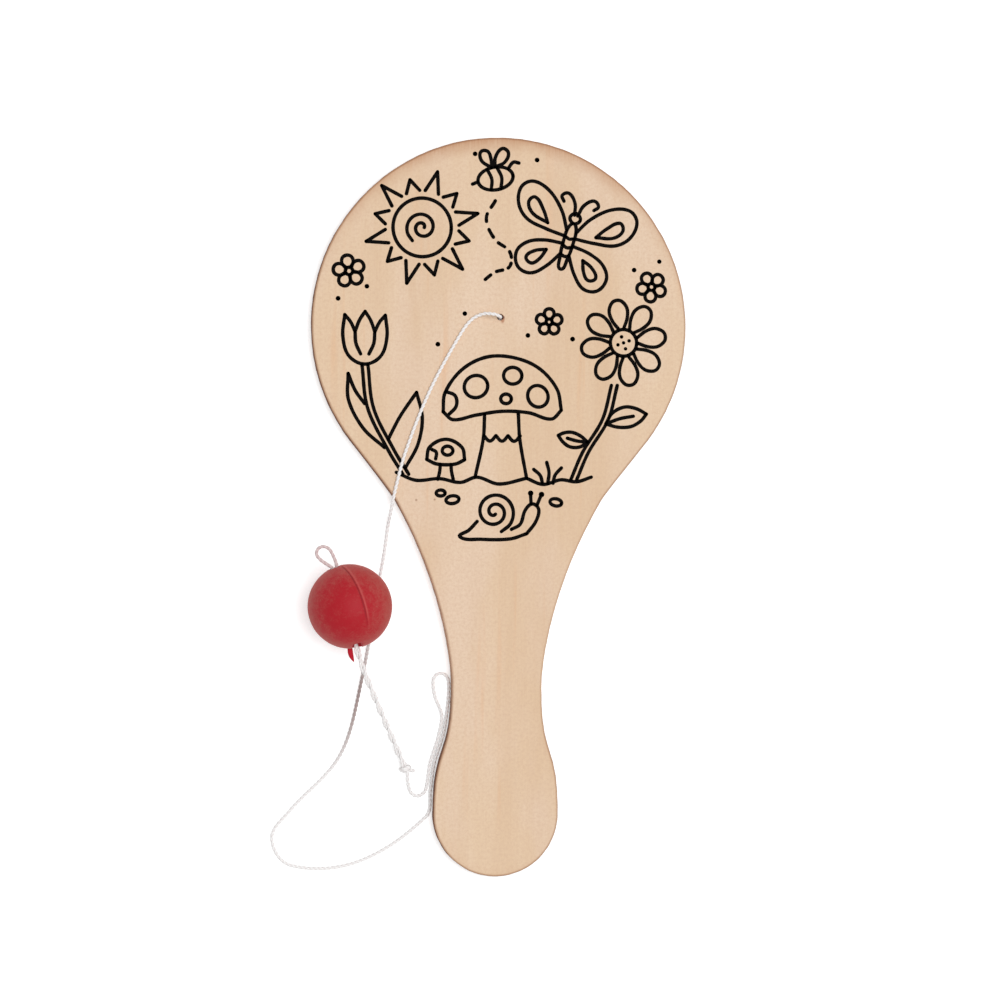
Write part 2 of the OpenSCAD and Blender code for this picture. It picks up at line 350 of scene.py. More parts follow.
def elastic_yarn(name, crown, groove_shade_colour, stretch_darkening=0.0):
    """Yarn: fibres slanting round each ply, with painted shade in the groove between the plies, and a
    darker stretch along the cord.
    """
    material, tree, shader = new_material(
        name, 0.85, 0.25, {"Sheen Weight": 0.25, "Sheen Roughness": 0.6}
    )
    around = add(tree, "ShaderNodeAttribute", attribute_name="strand_around")["Vector"]
    parts = around.into("ShaderNodeSeparateXYZ")
    far = kept_value(tree, "strand_along")
    painted_groove_shade = work_out("POWER", work_out("ABSOLUTE", parts["Y"]), 3.0)
    turn = work_out("ARCTAN2", parts["Y"], parts["X"])
    fibres = work_out("SINE", turn * fibres_around + far * (2 * math.pi / fibre_length))
    fluff = blotches(place_on(tree), scale=2600.0, roughness=0.6)
    # Painted shade: the yarn is darker in the groove between the plies, where each strand is pinched.
    yarn = mixed(painted_groove_shade * 0.4, crown, groove_shade_colour)
    worn = mixed(fluff * 0.12, yarn, groove_shade_colour)
    # The yarn is darker along one stretch of the cord.
    darker_stretch_share = fade(far, *darker_stretch_start) * fade(far, *darker_stretch_end, stretch_darkening, 0.0)
    relief = bump(fibres * 0.35 + fluff * 0.6, strength=0.4, distance=0.05 * mm)
    feed(shader, {"Base Color": mixed(darker_stretch_share, worn, paint(146, 118, 113)), "Normal": relief})
    return material


def take_place(piece, node, body):
    """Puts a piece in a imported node's place, riding on a body unless that is None."""
    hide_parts(node)
    if body:
        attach(piece, body)


elastic_tree = wound_elastic_tree()
white_crown = paint(253, 252, 251)
# The groove colour is painted shade between the plies.
white_groove_shade = paint(214, 198, 197)
white_yarn = elastic_yarn("white_yarn", white_crown, white_groove_shade)
darker_stretch_yarn = elastic_yarn("darker_stretch_yarn", white_crown, white_groove_shade, 0.8)


def elastic_piece(name, routes, node, body, inputs=None):
    """Elastic along the routes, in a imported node's place."""
    values = {"Material": white_yarn, **(inputs or {})}
    lines = line_object([(route, 1, False) for route in routes])
    piece = grow(name, lines, elastic_tree, values)
    take_place(piece, node, body)
    return piece


cord_end = leash_knot_at - knot_length / 2 * leash_knot_way
cord_line = smooth_route(
    [Vector(p) * mm for p in cord_route] + [cord_end - knot_lead * leash_knot_way, cord_end]
)
single_elastic = elastic_piece(
    "single_elastic", [cord_line], "elastic_cord", "paddle", {"Material": darker_stretch_yarn}
)

# The knots are overhand knots pulled tight. One holds the elastic behind the blade, one
# joins the single elastic to the doubled one with its cut tail left on, and one stops
# the ball from sliding off.
knot_width = 4.2 * mm
knot_core = 0.35 * mm
knot_coil = (knot_width - elastic_width) / 2
knot_turns = 2
knot_climb = 120
climb_steps = 6
coil_steps = 24
recess_ceiling = 3 * mm


def knot_route(centre, way, before=knot_length / 2, after=knot_length / 2):
    """An overhand knot: in along the way, out and round itself twice, back in and on."""
    side = way.orthogonal().normalized()
    upright = way.cross(side)
    coil_end = knot_climb + 360 * knot_turns
    last_turn = coil_end + knot_climb
    corners = [
        (0, knot_core, 0.9), (knot_climb, knot_coil, 0.5), (coil_end, knot_coil, -0.5),
        (last_turn, knot_core, -0.8),
    ]
    stops = [(0, knot_core, -before / strand_gap), (0, knot_core, 0)]
    runs = (climb_steps, coil_steps * knot_turns, climb_steps)
    for start, end, steps in zip(corners, corners[1:], runs):
        for step in range(1, steps + 1):
            stops.append([a + (b - a) * step / steps for a, b in zip(start, end)])
    stops += [(last_turn, knot_core, 0), (last_turn, knot_core, after / strand_gap)]
    route = []
    for turn, radius, height in stops:
        angle = math.radians(turn)
        out = math.cos(angle) * side + math.sin(angle) * upright
        route.append(centre + radius * out + height * strand_gap * way)
    return smooth_route(route, 3)


up = Vector((0, 0, 1))
anchor_at = hole_at + Vector((0, 0, recess_ceiling - knot_length / 2))
cord_exit = hole_at + Vector((0, 0, face_z))
anchor_turns = knot_route(anchor_at, -up, 0.6 * mm, 0.2 * mm)
anchor_knot = elastic_piece(
    "anchor_knot_tied", [anchor_turns, [anchor_at, cord_exit]], "anchor_knot", "paddle"
)
tail = [
    leash_knot_at + Vector(p) * mm
    for p in ((0.3, 0.2, -0.3), (1.4, -0.5, -0.6), (2.4, -0.9, -1), (3.2, -0.8, -1.3))
]
leash_turns = knot_route(leash_knot_at, leash_knot_way)
leash_routes = [leash_turns, smooth_route(tail)]
leash_knot = elastic_piece("leash_knot_tied", leash_routes, "leash_knot", "paddle")

# The doubled elastic rises from its knot to the ball, its two strands wound round each
# other, and runs on through the bore to the stop knot. What is left stands out of the
# ball as a small loop.
ball_at = Vector((-50.5, -94, 14)) * mm
ball_radius = 14 * mm
bore_turn = math.radians(16)
bore_way = Vector((-math.sin(bore_turn), math.cos(bore_turn), 0))
bore_aside = 1.5 * mm
bore_at = ball_at - bore_aside * Vector((math.cos(bore_turn), math.sin(bore_turn), 0))
strand_end = ball_radius + 0.5 * mm
stop_knot_z = 9.7 * mm
bore_steps = 40

leash_route = [
    (-33.2, -142.4, 3.1), (-35.7, -137.2, 5.1), (-38.6, -131, 7.8), (-41.4, -125, 10.3),
    (-44.1, -119, 12.4), (-46.1, -114.2, 13.6),
]
loop_route = [
    (-0.6, 0, 0), (-0.6, 0, 0.6), (-0.9, 0, 2), (-2.3, 0.1, 3.7), (-3.8, 0.2, 5.6),
    (-4.5, 0.2, 7.5), (-3.7, 0, 9.1), (-1.8, -0.2, 9.5), (-0.1, -0.3, 8.2), (0.6, -0.2, 5.8),
    (0.9, -0.1, 3), (0.6, 0, 0.6), (0.6, 0, 0),
]
bore_frame = (
    Matrix.Translation(bore_at)
    @ Matrix.Rotation(bore_turn, 4, "Z")
    @ Matrix.Rotation(math.radians(-90), 4, "X")
)
leash_start = leash_knot_at + knot_length / 2 * leash_knot_way
leash_end = bore_at - strand_end * bore_way
leash_line = smooth_route(
    [leash_start, leash_start + knot_lead * leash_knot_way]
    + [Vector(p) * mm for p in leash_route]
    + [leash_end - knot_lead * bore_way, leash_end]
)
leash_length = sum((b - a).length for a, b in zip(leash_line, leash_line[1:]))
bore_length = strand_end + stop_knot_z
doubled_line = leash_line + [
    leash_end + bore_length * step / bore_steps * bore_way for step in range(1, bore_steps + 1)
]
doubled = {"Strands": 2, "Strands Apart": strand_gap}
to_ball = {"To": leash_length, **doubled}
leash = elastic_piece("doubled_leash", [doubled_line], "elastic_leash", None, to_ball)
in_ball = {"From": leash_length, "To": leash_length + bore_length, **doubled}
bore_pair = elastic_piece("bore_pair", [doubled_line], "bore_strands", "leash_end", in_ball)
stop_knot_at = bore_at + (stop_knot_z + knot_length / 2) * bore_way
stop_turns = knot_route(stop_knot_at, bore_way)
stop_knot = elastic_piece("stop_knot_tied", [stop_turns], "stop_knot", "leash_end")
loop_foot = bore_frame @ Matrix.Translation((0, 0, stop_knot_z + knot_length))
# The end loop's yarn is pinkish grey all over, with shallower beads.
pinkish_yarn = elastic_yarn("pinkish_yarn", paint(228, 208, 207), paint(176, 143, 144))
pinkish_loop = {"Material": pinkish_yarn, "Bead Depth": 0.15}
loop_line = smooth_route([loop_foot @ (Vector(p) * mm) for p in loop_route])
end_loop = elastic_piece("end_loop_bight", [loop_line], "end_loop", "leash_end", pinkish_loop)
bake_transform(leash)

# The ball is moulded in solid red rubber that has gone powdery, with a thin lip of flash
# where the mould's halves met. The bore's mouth is torn open on its upper side, and the
# torn sliver still hangs there beside the elastic.
seam_turn = math.radians(286)
seam_relief = [
    (-1, 0), (-0.72, -0.03), (-0.52, -0.12), (-0.36, -0.17), (-0.2, -0.08), (-0.04, 0.06),
    (0.14, 0.13), (0.34, 0.12), (0.62, 0.04), (1, 0),
]
seam_narrowing = 5 * mm
seam_start = (math.radians(10), math.radians(18))
seam_end = (math.radians(92), math.radians(132))
bore_radius = 1.5 * mm
pocket_radius = 2.5 * mm
pocket_floor = 9.4 * mm
pocket_top = ball_radius - 0.5 * mm
pocket_ease = 0.15 * mm
mouth_radius = 2.2 * mm
mouth_floor = -12.4 * mm
mouth_ease = 0.12 * mm
slot_turn = math.radians(272)
slot_half_width = 1.8 * mm
slot_floor = -12.1 * mm
slot_edge = 0.3 * mm
slot_ragged = 0.25 * mm
slot_tears = 1.3 * mm
torn_band = 0.04
ball_crease = math.radians(55)
ball_rings = 120
ball_lines = 60
ball_lumps = 0.05 * mm
rim_tries = 30
# Painted sheen and dust grow away from this spot near the ball's top.
least_dust_and_sheen_spot = ball_at + Vector((-0.2, -0.08, 0.97)) * ball_radius


def spot_at(reach, turn, height=0):
    """The spot at a reach from an upright axis, at a turn about it and a height on it."""
    return Vector((reach * math.cos(turn), reach * math.sin(turn), height))


def between(value, low, high):
    """0 below low, 1 above high, with a smooth rise between."""
    share = min(max((value - low) / (high - low), 0), 1)
    return share * share * (3 - 2 * share)


def line_turn(line, reach):
    """The turn about the bore of one of the ball's lines, at a reach from its axis."""
    half, offset, share = line
    width = max(reach, seam_narrowing)
    if offset is None:
        edge = math.asin(mm / width)
        return seam_turn + half * math.pi + edge + share * (math.pi - 2 * edge)
    return seam_turn + half * math.pi + math.asin(offset / width)


def meet_rim(line, radius):
    """Where a line meets a rim round the bore: its reach from the ball's middle and its
    turn about the bore."""
    reach = radius
    for closer in range(rim_tries):
        turn = line_turn(line, reach)
        spot = spot_at(reach, turn)
        bore_side = math.atan2(spot.y, spot.x + bore_aside)
        across = math.sqrt(radius ** 2 - (bore_aside * math.sin(turn)) ** 2)
        reach = (reach + across - bore_aside * math.cos(turn)) / 2
    return reach, bore_side


def cut_slot(x, y, z, torn):
    """A spot of the ball, with the torn slot's floor in place of what was below it."""
    if x * math.cos(slot_turn) + y * math.sin(slot_turn) <= 0:
        return x, y, z, torn
    across_slot = abs(y * math.cos(slot_turn) - x * math.sin(slot_turn))
    ragged = slot_half_width + slot_ragged * noise.noise(Vector((x, y, 2 * z)) / slot_tears)
    inside = ragged - across_slot
    lift = between(inside, 0, slot_edge) * max(slot_floor - z, 0)
    reddened = between(inside, -slot_ragged, 0.1 * mm)
    reddened *= between(slot_floor + 0.3 * mm - z, 0, 0.4 * mm)
    return x, y, z + lift, max(torn, reddened)


def red_rubber():
    """Matte red rubber with a pale powdery bloom, partly dust and partly painted sheen towards the
    rim, painted shade and highlight at the seam, and deep red tears.
    """
    sheen = {"Sheen Weight": 0.26, "Sheen Roughness": 0.4, "Sheen Tint": paint(255, 200, 190)}
    material, tree, shader = new_material("red_rubber", 0.62, 0.2, sheen)
    place = place_on(tree)
    patches = blotches(place, scale=420.0, detail=5.0, roughness=0.7)
    powder = blotches(place, scale=1900.0, detail=3.0, roughness=0.7)
    # Partly dust and partly painted sheen: the bloom grows paler away from a spot near the top,
    # towards the rim, more on the right than the left.
    from_least_dust_and_sheen = work_out_vector("DISTANCE", place, tuple(least_dust_and_sheen_spot))
    rim_dust_and_sheen = fade(from_least_dust_and_sheen, 0.25 * ball_radius, 1.25 * ball_radius, -0.12, 0.27)
    bloom_and_sheen = fade(powder * 0.8 + patches + rim_dust_and_sheen, 0.74, 1.45)
    skin = mixed(bloom_and_sheen, paint(172, 22, 35), paint(176, 80, 74))
    # Painted shade darkens the groove beside the seam's lip, and a painted highlight lightens the
    # lip.
    seam = kept_value(tree, "seam")
    painted_groove_shade = (seam * -4.0).into("ShaderNodeClamp", {"Max": 0.6})
    painted_ridge_highlight = (seam * 3.0).into("ShaderNodeClamp", {"Max": 0.35})
    seam_shade_and_highlight = mixed(painted_ridge_highlight, mixed(painted_groove_shade, skin, paint(118, 22, 32)), paint(206, 108, 102))
    colour = mixed(kept_value(tree, "torn"), seam_shade_and_highlight, paint(180, 20, 40))
    relief = bump(powder, strength=0.4, distance=0.06 * mm)
    feed(shader, {"Base Color": colour, "Roughness": bloom_and_sheen * 0.25 + 0.52, "Normal": relief})
    return material


def bridge(shape, first, second):
    """A band of faces between two rings of points."""
    for i in range(len(first)):
        k = (i + 1) % len(first)
        shape.faces.new((first[i], first[k], second[k], second[i]))


def shade(shape, crease):
    """Turns the faces outwards, and shades them smoothly but over sharper edges."""
    bmesh.ops.recalc_face_normals(shape, faces=shape.faces)
    for face in shape.faces:
        face.smooth = True
    for edge in shape.edges:
        edge.smooth = edge.calc_face_angle(0) < crease


def finished_piece(name, shape, tones):
    """The object of a finished shape, in its materials."""
    mesh = bpy.data.meshes.new(name)
    shape.to_mesh(mesh)
    shape.free()
    for tone in tones:
        mesh.materials.append(tone)
    return new_object(name, mesh)


lines = []
for half in (0, 1):
    lines += [(half, offset * mm, 0, rise * mm) for offset, rise in seam_relief]
    lines += [(half, None, (i + 1) / (ball_lines + 1), 0) for i in range(ball_lines)]
ball_shape = bmesh.new()
torn_layer = ball_shape.verts.layers.float.new("torn")
seam_layer = ball_shape.verts.layers.float.new("seam")
columns = []
for *line, rise in lines:
    pocket_reach, pocket_side = meet_rim(line, pocket_radius + pocket_ease)
    mouth_reach, mouth_side = meet_rim(line, mouth_radius)
    first = math.asin(pocket_reach / ball_radius)
    last = math.pi - math.asin(mouth_reach / ball_radius)
    rim_z = ball_radius * math.cos(last)
    spots = []
    for reach, height, torn in (
        (bore_radius, pocket_floor, 1), (pocket_radius, pocket_floor, 1),
        (pocket_radius, pocket_top, 0.8),
    ):
        spots.append((*spot_at(reach, pocket_side, height), torn, 0))
    for step in range(ball_rings + 1):
        angle = first + (last - first) * step / ball_rings
        turn = line_turn(line, ball_radius * math.sin(angle))
        way = spot_at(math.sin(angle), turn, math.cos(angle))
        strength = between(angle, *seam_start) * (1 - between(angle, *seam_end))
        lumps = noise.noise(way * 2.3) + 0.4 * noise.noise(way * 7)
        spot = (ball_radius + rise * strength + ball_lumps * lumps) * way
        torn = between(angle, last - torn_band, last)
        spots.append((*cut_slot(spot.x + bore_aside, spot.y, spot.z, torn), rise * strength / mm))
    for reach, height in (
        (mouth_radius - mouth_ease, rim_z + 1.6 * mouth_ease),
        ((mouth_radius + bore_radius) / 2, (rim_z + 3 * mouth_floor) / 4),
        (bore_radius, mouth_floor),
    ):
        spots.append((*cut_slot(*spot_at(reach, mouth_side, height), 1), 0))
    column = []
    for x, y, z, torn, seam in spots:
        vert = ball_shape.verts.new(bore_frame @ Vector((x, y, z)))
        vert[torn_layer] = torn
        vert[seam_layer] = seam
        column.append(vert)
    columns.append(column)
for column, following in zip(columns, columns[1:] + columns[:1]):
    bridge(ball_shape, column, following)

sliver_spots = [
    (-1.9, -0.2, -12.2, 0.6), (-2.2, -0.2, -13.3, 0.85), (-2.4, 0, -14.6, 0.9),
    (-2.45, 0.3, -15.9, 0.8), (-2.3, 0.5, -17.1, 0.5), (-2.1, 0.8, -18.1, 0.15),
]
sliver_flatness = 0.45
sliver_sides = 12
sliver_rings = []
for x, y, z, half_width in sliver_spots:
    ring = []
    for step in range(sliver_sides):
        side = spot_at(half_width, 2 * math.pi * step / sliver_sides)
        spot = Vector((x + side.x, y + sliver_flatness * side.y, z)) * mm
        vert = ball_shape.verts.new(bore_frame @ spot)
        vert[torn_layer] = 1
        ring.append(vert)
    sliver_rings.append(ring)
for upper, lower in zip(sliver_rings, sliver_rings[1:]):
    bridge(ball_shape, upper, lower)
ball_shape.faces.new(sliver_rings[0])
ball_shape.faces.new(sliver_rings[-1])
shade(ball_shape, ball_crease)
rubber_ball = finished_piece("rubber_ball", ball_shape, [red_rubber()])
take_place(rubber_ball, "ball", "ball")

# The paddle is three veneers of pale birch glued crosswise and cut out hot, which leaves
# the cut sides brown and a scorched line round the face. The brown creeps further in at
# the blade's top, where the grain runs out, and a little at the grip's end.
cut_wobble = 0.11 * mm
wobble_length = 2.5 * mm
rim_rounding = 0.35 * mm
glue_groove = 0.07 * mm
arc_share = 0.29
rim_rings = [inset * mm for inset in (0.8, 1.5, 2.6, 4.2, 6.5)]
hole_radius = 1 * mm
recess_radius = 2.5 * mm
hole_steps = 48
hole_ease = 0.15 * mm
hole_stain_at = hole_at + Vector((0.8, -0.7, 5)) * mm
hole_dark_spot_at = hole_at + Vector((0.9, -0.1, 5)) * mm
neck_y = -96 * mm
neck_pale = 14 * mm
neck_burnt = 52 * mm
foot_soak = 0.25
flat_from = 0.9
ply_crease = math.radians(50)
wood_specks = [(-35, -57.7, 0.5), (-27.8, -58.6, 0.6), (-21.6, -58.4, 0.5)]


def closed_route(points, steps=12):
    """Points close together on a smooth closed curve through the given ones."""
    overlapped = points[-2:] + points + points[:2]
    return smooth_route(overlapped, steps)[2 * steps:(len(points) + 2) * steps]


def outline_of(node):
    """A packed ply's outline, as points close together, anticlockwise seen from the front."""
    shape = bmesh.new()
    shape.from_mesh(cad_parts[node].data)
    bmesh.ops.remove_doubles(shape, verts=shape.verts, dist=0.001 * mm)
    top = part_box(node)[1].z
    ahead = {}
    for face in shape.faces:
        if face.normal.z > flat_from and abs(face.verts[0].co.z - top) < 0.01 * mm:
            for loop in face.loops:
                wall = [f for f in loop.edge.link_faces if f != face][0]
                if abs(wall.normal.z) < 0.5:
                    ahead[loop.vert.co.xy.to_tuple(7)] = loop.link_loop_next.vert.co.xy.to_tuple(7)
    start = max(ahead, key=lambda p: p[1])
    points = [start]
    while ahead[points[-1]] != start:
        points.append(ahead[points[-1]])
    shape.free()
    return closed_route([Vector((*p, 0)) for p in points], 4)


paddle_outline = outline_of("front_ply")
neighbours = zip(paddle_outline[-1:] + paddle_outline, paddle_outline[1:] + paddle_outline[:1])
outline_ways = [(after - before).cross(up).normalized() for before, after in neighbours]


def ring_edges(shape, ring):
    """The edges between a ring's points."""
    return [shape.edges.get((vert, ring[(i + 1) % len(ring)])) for i, vert in enumerate(ring)]


def ply(name, node, top_round, bottom_round, hole_section, tones):
    """A veneer: rings round its outline, a section down its hole, and flat faces between."""
    low, high = (corner.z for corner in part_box(node))
    section = [(inset, low) for inset in reversed(rim_rings)]
    section += [(bottom_round, low), (arc_share * bottom_round, low + arc_share * bottom_round)]
    section += [(0, low + bottom_round), (0, high - top_round)]
    section += [(arc_share * top_round, high - arc_share * top_round), (top_round, high)]
    section += [(inset, high) for inset in rim_rings]
    shape = bmesh.new()
    rim = shape.verts.layers.float.new("from_rim")
    end_grain = shape.verts.layers.float.new("end_grain")
    rings = []
    for inset, height in section:
        ring = []
        for point, way in zip(paddle_outline, outline_ways):
            spot = Vector((point.x, point.y, height)) / wobble_length
            wobble = cut_wobble * noise.noise(spot) if inset < rim_rings[0] else 0
            vert = shape.verts.new(point - (inset + wobble) * way + Vector((0, 0, height)))
            vert[rim] = inset / mm
            vert[end_grain] = max(way.y, -foot_soak * way.y)
            ring.append(vert)
        rings.append(ring)
    for lower, upper in zip(rings, rings[1:]):
        bridge(shape, lower, upper)
    hole_rings = []
    for radius, height in hole_section:
        ring = []
        for step in range(hole_steps):
            angle = 2 * math.pi * step / hole_steps
            vert = shape.verts.new(hole_at + spot_at(radius, angle, height))
            vert[rim] = rim_rings[-1] / mm
            ring.append(vert)
        hole_rings.append(ring)
    for upper, lower in zip(hole_rings, hole_rings[1:]):
        bridge(shape, upper, lower)
    for outer, inner in ((rings[-1], hole_rings[0]), (rings[0], hole_rings[-1])):
        edges = ring_edges(shape, outer) + ring_edges(shape, inner)
        bmesh.ops.triangle_fill(shape, edges=edges, use_beauty=True)
    shade(shape, ply_crease)
    for face in shape.faces:
        face.material_index = 0 if abs(face.normal.z) > flat_from else 1
    for ring in hole_rings:
        for edge in ring_edges(shape, ring):
            edge.smooth = False
    take_place(finished_piece(name, shape, tones), node, "paddle")


def wood_grain_group():
    """Wood with its grain along Y: broad bands, fine fibres and short pores."""
    group = bpy.data.node_groups.new("wood grain", "ShaderNodeTree")
    for in_out, kind, labels in (
        ("INPUT", "Vector", ("Place",)),
        ("INPUT", "Color", ("Light Wood", "Dark Wood")),
        ("INPUT", "Float", ("Band Width", "Band Share", "Fibre Share", "Pore Share")),
        ("OUTPUT", "Color", ("Wood",)),
        ("OUTPUT", "Float", ("Height", "Fibres")),
    ):
        for label in labels:
            group.interface.new_socket(label, in_out=in_out, socket_type="NodeSocket" + kind)
    given = add(group, "NodeGroupInput")

    def streaks(scale, detail, squeeze):
        return blotches(given["Place"], scale, detail, 0.55, (1, squeeze, 1))

    bands = streaks(work_out("DIVIDE", 1.0, given["Band Width"]), 6.0, 0.1)
    fibres = streaks(2200.0, 4.0, 0.018)
    pores = fade(streaks(3400.0, 1.0, 0.09), 0.6, 0.74)
    darker = (bands - 0.5) * given["Band Share"] + (fibres - 0.5) * given["Fibre Share"]
    dark = (darker + pores * given["Pore Share"] + 0.35).into("ShaderNodeClamp")
    wood = mixed(dark, given["Light Wood"], given["Dark Wood"])
    add(group, "NodeGroupOutput", {0: wood, 1: fibres - pores * 0.6, 2: fibres})
    return group


wood_grain = wood_grain_group()


def neck_distance(tree):
    """How far a place is from the neck, as a share from 0 to 1: the rim's scorch and the cut sides
    are paler near the neck.
    """
    height = place_on(tree).into("ShaderNodeSeparateXYZ")["Y"]
    return fade(work_out("ABSOLUTE", height - neck_y), neck_pale, neck_burnt)


def veneer():
    """The sanded face: pale wood, scorched at the rim and stained below the cord hole."""
    material, tree, shader = new_material("birch_veneer", 0.58, 0.3)
    place = place_on(tree)
    grain = {
        "Light Wood": paint(232, 206, 176), "Dark Wood": paint(209, 173, 136),
        "Band Width": 11 * mm, "Band Share": 1.0, "Fibre Share": 0.3, "Pore Share": 0.14,
    }
    wood = place.into("ShaderNodeGroup", grain, node_tree=wood_grain)
    clouds = blotches(place, scale=48.0, detail=3.0, stretch=(1, 0.4, 1))
    streaks = blotches(place, scale=300.0, stretch=(1, 0.05, 1))
    mottle = blotches(place, scale=1000.0, detail=4.0, roughness=0.75)
    clouded = mixed(fade(clouds, 0.34, 0.62, 0.34, 0.0), wood, paint(236, 214, 197))
    streaked = mixed(fade(streaks, 0.58, 0.8, 0.0, 0.4), clouded, paint(222, 170, 126))
    mottled = mixed(fade(mottle, 0.36, 0.7, 0.0, 0.55), streaked, paint(210, 176, 147))

    rim = kept_value(tree, "from_rim")
    ends = kept_value(tree, "end_grain")
    wavering = (wood["Fibres"] - 0.5) * 2.2
    soak_reach = ends * (blotches(place, scale=110.0) * 4.4) + 0.3
    soak = work_out("EXPONENT", (rim + wavering * (ends * 1.6)) * -1.0 / soak_reach)
    soak_share = fade(rim, 3.0, 6.3, 1.0, 0.0) * (soak * (ends * 1.1))
    soaked = mixed(soak_share, mottled, paint(190, 142, 106))
    scorch_share = ends * 0.3 + fade(neck_distance(tree), 0.0, 1.0, 0.36, 0.54)
    scorch = fade(rim, 0.25, 0.85, 1.0, 0.0) * scorch_share
    scorched = mixed(scorch, soaked, paint(158, 112, 80))

    from_stain = work_out_vector("SUBTRACT", place, tuple(hole_stain_at))
    spread = work_out_vector("LENGTH", work_out_vector("MULTIPLY", from_stain, (1.3, 0.7, 0)))
    stain = fade(spread, 0.5 * mm, 1.2 * mm, 0.75, 0.0)
    stained = mixed(stain, scorched, paint(166, 102, 66))
    # A dark spot on the face at the hole's right rim.
    from_char = work_out_vector("DISTANCE", place, tuple(hole_dark_spot_at))
    hole_dark_spot = fade(from_char, 0.35 * mm, 0.8 * mm, 0.85, 0.0)
    marked = mixed(hole_dark_spot, stained, paint(92, 44, 38))
    for x, y, radius in wood_specks:
        away = work_out_vector("DISTANCE", place, (x * mm, y * mm, face_z))
        speck = fade(away, 0.3 * radius * mm, radius * mm, 0.6, 0.0)
        marked = mixed(speck, marked, paint(140, 92, 62))
    relief = bump(wood["Height"], strength=0.35, distance=0.04 * mm)
    rough = wood["Fibres"] * 0.16 + 0.5
    feed(shader, {"Base Color": marked, "Roughness": rough, "Normal": relief})
    return material


def cut_side(name, grain_turn, light, dark):
    """A veneer's cut side, browned by the hot cutter, with fine saw-like ripples."""
    material, tree, shader = new_material(name, 0.7, 0.2)
    place = place_on(tree)
    turned = place.into("ShaderNodeMapping", {"Rotation": (0, 0, grain_turn)})
    grain = {
        "Light Wood": light, "Dark Wood": dark, "Band Width": 4 * mm, "Band Share": 1.0,
        "Fibre Share": 1.2, "Pore Share": 0.3,
    }
    wood = turned.into("ShaderNodeGroup", grain, node_tree=wood_grain)
    ripples = blotches(place, scale=1800.0, detail=3.0, stretch=(1, 1, 0.15))
    rippled = mixed(ripples * 0.4, wood, paint(116, 76, 58))
    burnt = mixed(neck_distance(tree), paint(196, 156, 128), rippled)
    feed(shader, {"Base Color": burnt, "Normal": bump(ripples, strength=0.5, distance=0.06 * mm)})
    return material


birch_veneer = veneer()
face_side = cut_side("face_ply_side", 0, paint(158, 110, 82), paint(118, 78, 56))
core_side = cut_side("core_ply_side", math.radians(90), paint(134, 90, 66), paint(98, 62, 44))
lower_glue, upper_glue = (corner.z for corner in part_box("core_ply"))
front_hole = [
    (hole_radius + hole_ease, face_z), (hole_radius, face_z - hole_ease),
    (hole_radius, upper_glue),
]
core_hole = [
    (hole_radius, upper_glue), (hole_radius, recess_ceiling),
    (recess_radius, recess_ceiling), (recess_radius, lower_glue),
]
back_hole = [
    (recess_radius, lower_glue), (recess_radius, hole_ease), (recess_radius + hole_ease, 0),
]
face_tones = [birch_veneer, face_side]
ply("front_veneer", "front_ply", rim_rounding, glue_groove, front_hole, face_tones)
ply("core_veneer", "core_ply", glue_groove, glue_groove, core_hole, [core_side] * 2)
ply("back_veneer", "back_ply", glue_groove, rim_rounding, back_hole, face_tones)

# The picture is printed in black on the bare front veneer, in strokes of one width with
# round ends: a garden with a sun, a butterfly, a bee, a snail, flowers and toadstools. The
# ink is a thin film that stands a little proud of the wood.
ink_width = 1.25 * mm
ink_thickness = 0.06 * mm
ink_step = 0.3 * mm
ink_wobble = 0.14
wobble_scale = 420.0
ink_seed = 4.0
oval_points = 12
spiral_step = 33
ink_strokes = []


def draw(points, at=(0, 0), turn=0, size=1, closed=False, broad=1, flip=1):
    """A stroke through points in millimetres, flipped, turned and sized about a place."""
    spin = Matrix.Rotation(math.radians(turn), 3, "Z")
    middle = Vector((*at, 0))
    route = [(middle + size * (spin @ Vector((flip * p[0], p[1], 0)))) * mm for p in points]
    route = closed_route(route) if closed else smooth_route(route)
    ink_strokes.append(([Vector((p.x, p.y, face_z)) for p in route], broad, closed))


def draw_all(strokes, **place):
    """Several strokes about one place."""
    for points in strokes:
        draw(points, **place)


def oval(width, height, at, **place):
    """A closed oval outline."""
    spots = [spot_at(0.5, 2 * math.pi * step / oval_points) for step in range(oval_points)]
    draw([(width * spot.x, height * spot.y) for spot in spots], at, closed=True, **place)


def spiral(reach, growth, steps, at, turn=0):
    """A spiral, by its first reach from its middle and how that grows at each step."""
    spots = [spot_at(reach + growth * i, math.radians(spiral_step * i)) for i in range(steps)]
    draw(spots, at, turn)


def dot(x, y, broad=1.5):
    """A filled dot, as wide as the stroke times its breadth."""
    draw([(0, 0), (0.04, 0)], (x, y), broad=broad)


def leaf(at, turn, size):
    """A pointed leaf with a midrib, growing from its foot."""
    strokes = [
        [(0, 0), (3.6, 3.6), (9, 4.8), (13.6, 3), (17, 0)],
        [(0, 0), (4.4, -2.4), (9.6, -3.4), (14, -2.2), (17, 0)],
        [(0, 0), (6, 0.7), (11.6, 0.4)],
    ]
    draw_all(strokes, at=at, turn=turn, size=size)


def blossom(at, turn, size):
    """A small flower of five round petals."""
    petal = [(-0.7, 1.2), (-2, 3), (-1.6, 4.9), (0, 5.6), (1.6, 4.9), (2, 3), (0.7, 1.2)]
    for step in range(5):
        draw(petal, at, turn + 72 * step, size)
    oval(2.6, 2.6, at, size=size)


sun_at = (-26.6, 32.6)
oval(19.6, 19.6, sun_at)
spiral(0.7, 0.27, 19, sun_at)
for ray in range(12):
    tip = 19.4 if ray % 2 == 0 else 16.4
    for side in (-1, 1):
        draw([(12.2, 2.3 * side), (tip, 0)], sun_at, turn=30 * ray + 15)

